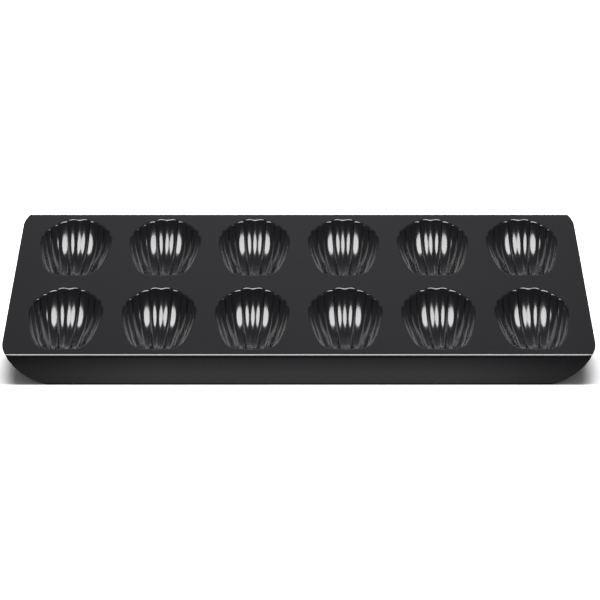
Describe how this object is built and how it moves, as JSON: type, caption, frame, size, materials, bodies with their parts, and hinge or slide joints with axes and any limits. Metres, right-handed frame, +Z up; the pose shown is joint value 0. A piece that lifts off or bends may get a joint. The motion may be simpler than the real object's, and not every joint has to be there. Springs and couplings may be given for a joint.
{
  "type": "madeleine pan",
  "caption": "Rectangular coated steel baking pan with fluted scallop-shell hollows, standing on two folded long edges with large rounded ends.",
  "frame": {"origin": "on the ground under the middle of the pan", "axes": "+X along the long side, +Y towards the fan ends of the shells, +Z up out of the hollows"},
  "size_m": [0.395, 0.2036, 0.0225],
  "materials": {
    "nonstick_coated_steel": "dark charcoal non-stick coating, satin, fine grain"
  },
  "bodies": {
    "root": {"deck": "nonstick_coated_steel", "front_apron": "nonstick_coated_steel", "back_apron": "nonstick_coated_steel", "shell_mould_01": "nonstick_coated_steel", "shell_mould_02": "nonstick_coated_steel", "shell_mould_03": "nonstick_coated_steel", "shell_mould_04": "nonstick_coated_steel", "shell_mould_05": "nonstick_coated_steel", "shell_mould_06": "nonstick_coated_steel", "shell_mould_07": "nonstick_coated_steel", "shell_mould_08": "nonstick_coated_steel", "shell_mould_09": "nonstick_coated_steel", "shell_mould_10": "nonstick_coated_steel", "shell_mould_11": "nonstick_coated_steel", "shell_mould_12": "nonstick_coated_steel"}
  },
  "joints": []
}
